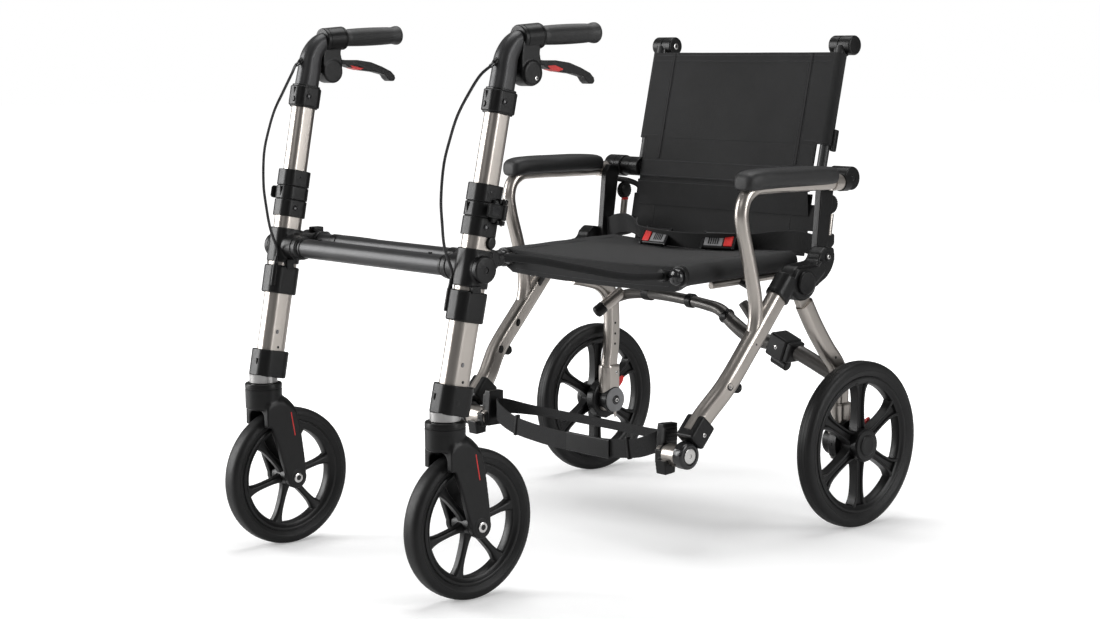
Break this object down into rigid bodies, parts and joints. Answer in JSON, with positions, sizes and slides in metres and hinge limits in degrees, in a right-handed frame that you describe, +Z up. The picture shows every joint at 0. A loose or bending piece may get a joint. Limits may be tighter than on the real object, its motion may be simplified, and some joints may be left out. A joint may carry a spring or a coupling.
{
  "type": "rollator transport chair",
  "caption": "Walking frame on two swivel casters joined to a folding sling chair on large spoked rear wheels, with bicycle-type brake levers.",
  "frame": {"origin": "centre of the bounding box at floor level, between the wheels", "axes": "+Z up; -Y is forward, the way the seated person faces; +X is that person's left"},
  "size_m": [0.748, 1.113, 0.9063],
  "materials": {
    "champagne": "satin",
    "gunmetal": "satin dark grey",
    "moulding": "satin black",
    "rubber": "matte black",
    "tyre": "matte black",
    "canvas": "woven black",
    "foam": "soft black skin",
    "webbing": "woven black strap"
  },
  "bodies": {
    "frame": {"left_lower_post": "champagne", "right_lower_post": "champagne", "left_caster_socket": "moulding", "right_caster_socket": "moulding", "left_tee_clamp": "moulding", "right_tee_clamp": "moulding", "left_height_clamp": "moulding", "right_height_clamp": "moulding", "left_brake_cable": "rubber", "right_brake_cable": "rubber", "left_link_bar": "moulding", "right_link_bar": "moulding", "left_side_frame": "champagne", "right_side_frame": "champagne", "left_hub": "moulding", "right_hub": "moulding", "left_arm_pad": "foam", "right_arm_pad": "foam", "left_foot_clamp": "moulding", "right_foot_clamp": "moulding", "left_back_post": "moulding", "right_back_post": "moulding", "front_crossbar": "gunmetal", "rear_crossbar": "gunmetal", "lower_back": "canvas", "seat": "canvas", "belt": "webbing", "foot_strap": "webbing"},
    "left_caster": {"left_caster_fork": "moulding"},
    "left_caster_wheel": {"left_caster_rim": "moulding", "left_caster_tyre": "tyre"},
    "left_handle": {"left_inner_post": "champagne", "left_handle_tube": "gunmetal", "left_grip": "rubber", "left_brake_body": "moulding"},
    "left_brake_lever": {"left_brake_lever": "moulding"},
    "left_cam_lever": {"left_cam_lever": "moulding"},
    "left_rear_wheel": {"left_rear_rim": "moulding", "left_rear_tyre": "tyre"},
    "right_caster": {"right_caster_fork": "moulding"},
    "right_caster_wheel": {"right_caster_rim": "moulding", "right_caster_tyre": "tyre"},
    "right_handle": {"right_inner_post": "champagne", "right_handle_tube": "gunmetal", "right_grip": "rubber", "right_brake_body": "moulding"},
    "right_brake_lever": {"right_brake_lever": "moulding"},
    "right_cam_lever": {"right_cam_lever": "moulding"},
    "right_rear_wheel": {"right_rear_rim": "moulding", "right_rear_tyre": "tyre"},
    "back_rest": {"left_back_bow": "moulding", "right_back_bow": "moulding", "upper_back": "canvas"},
    "rear_frame": {"left_rear_leg": "champagne", "right_rear_leg": "champagne", "left_brake_carrier": "moulding", "right_brake_carrier": "moulding", "cross_brace": "champagne", "brace_clamp": "moulding"}
  },
  "joints": [
    {"name": "left_caster_swivel", "type": "hinge", "parent": "frame", "child": "left_caster", "pos_m": [0.25, -0.481, 0.2445], "axis": [0, 0, 1], "continuous": true},
    {"name": "left_caster_roll", "type": "hinge", "parent": "left_caster", "child": "left_caster_wheel", "pos_m": [0.25, -0.4355, 0.121], "axis": [1, 0, 0], "continuous": true},
    {"name": "left_handle_height", "type": "slide", "parent": "frame", "child": "left_handle", "axis": [0.0205, 0.1954, 0.9805], "range_m": [-0.035, 0.12], "deforming": ["left_brake_cable"]},
    {"name": "left_brake_squeeze", "type": "hinge", "parent": "left_handle", "child": "left_brake_lever", "pos_m": [0.26035, -0.31, 0.843], "axis": [1, 0, 0], "range_deg": [0, 20], "stiffness_Nm_per_rad": 2, "springref_deg": -11.46},
    {"name": "left_height_cam", "type": "hinge", "parent": "frame", "child": "left_cam_lever", "pos_m": [0.28702, -0.39301, 0.612], "axis": [0.0205, 0.1954, 0.9805], "range_deg": [0, 120]},
    {"name": "left_rear_wheel_roll", "type": "hinge", "parent": "rear_frame", "child": "left_rear_wheel", "pos_m": [0.347, 0.404, 0.1525], "axis": [1, 0, 0], "continuous": true},
    {"name": "right_caster_swivel", "type": "hinge", "parent": "frame", "child": "right_caster", "pos_m": [-0.25, -0.481, 0.2445], "axis": [0, 0, 1], "continuous": true},
    {"name": "right_caster_roll", "type": "hinge", "parent": "right_caster", "child": "right_caster_wheel", "pos_m": [-0.25, -0.4355, 0.121], "axis": [1, 0, 0], "continuous": true},
    {"name": "right_handle_height", "type": "slide", "parent": "frame", "child": "right_handle", "axis": [-0.0205, 0.1954, 0.9805], "range_m": [-0.035, 0.12], "deforming": ["right_brake_cable"]},
    {"name": "right_brake_squeeze", "type": "hinge", "parent": "right_handle", "child": "right_brake_lever", "pos_m": [-0.26035, -0.31, 0.843], "axis": [1, 0, 0], "range_deg": [0, 20], "stiffness_Nm_per_rad": 2, "springref_deg": -11.46},
    {"name": "right_height_cam", "type": "hinge", "parent": "frame", "child": "right_cam_lever", "pos_m": [-0.28702, -0.39301, 0.612], "axis": [0.0205, -0.1954, -0.9805], "range_deg": [0, 120]},
    {"name": "right_rear_wheel_roll", "type": "hinge", "parent": "rear_frame", "child": "right_rear_wheel", "pos_m": [-0.347, 0.404, 0.1525], "axis": [1, 0, 0], "continuous": true},
    {"name": "back_fold", "type": "hinge", "parent": "frame", "child": "back_rest", "pos_m": [0, 0.417, 0.634], "axis": [1, 0, 0], "range_deg": [0, 120]},
    {"name": "rear_legs_fold", "type": "hinge", "parent": "frame", "child": "rear_frame", "pos_m": [0, 0.282, 0.455], "axis": [-1, 0, 0], "range_deg": [0, 32]}
  ]
}
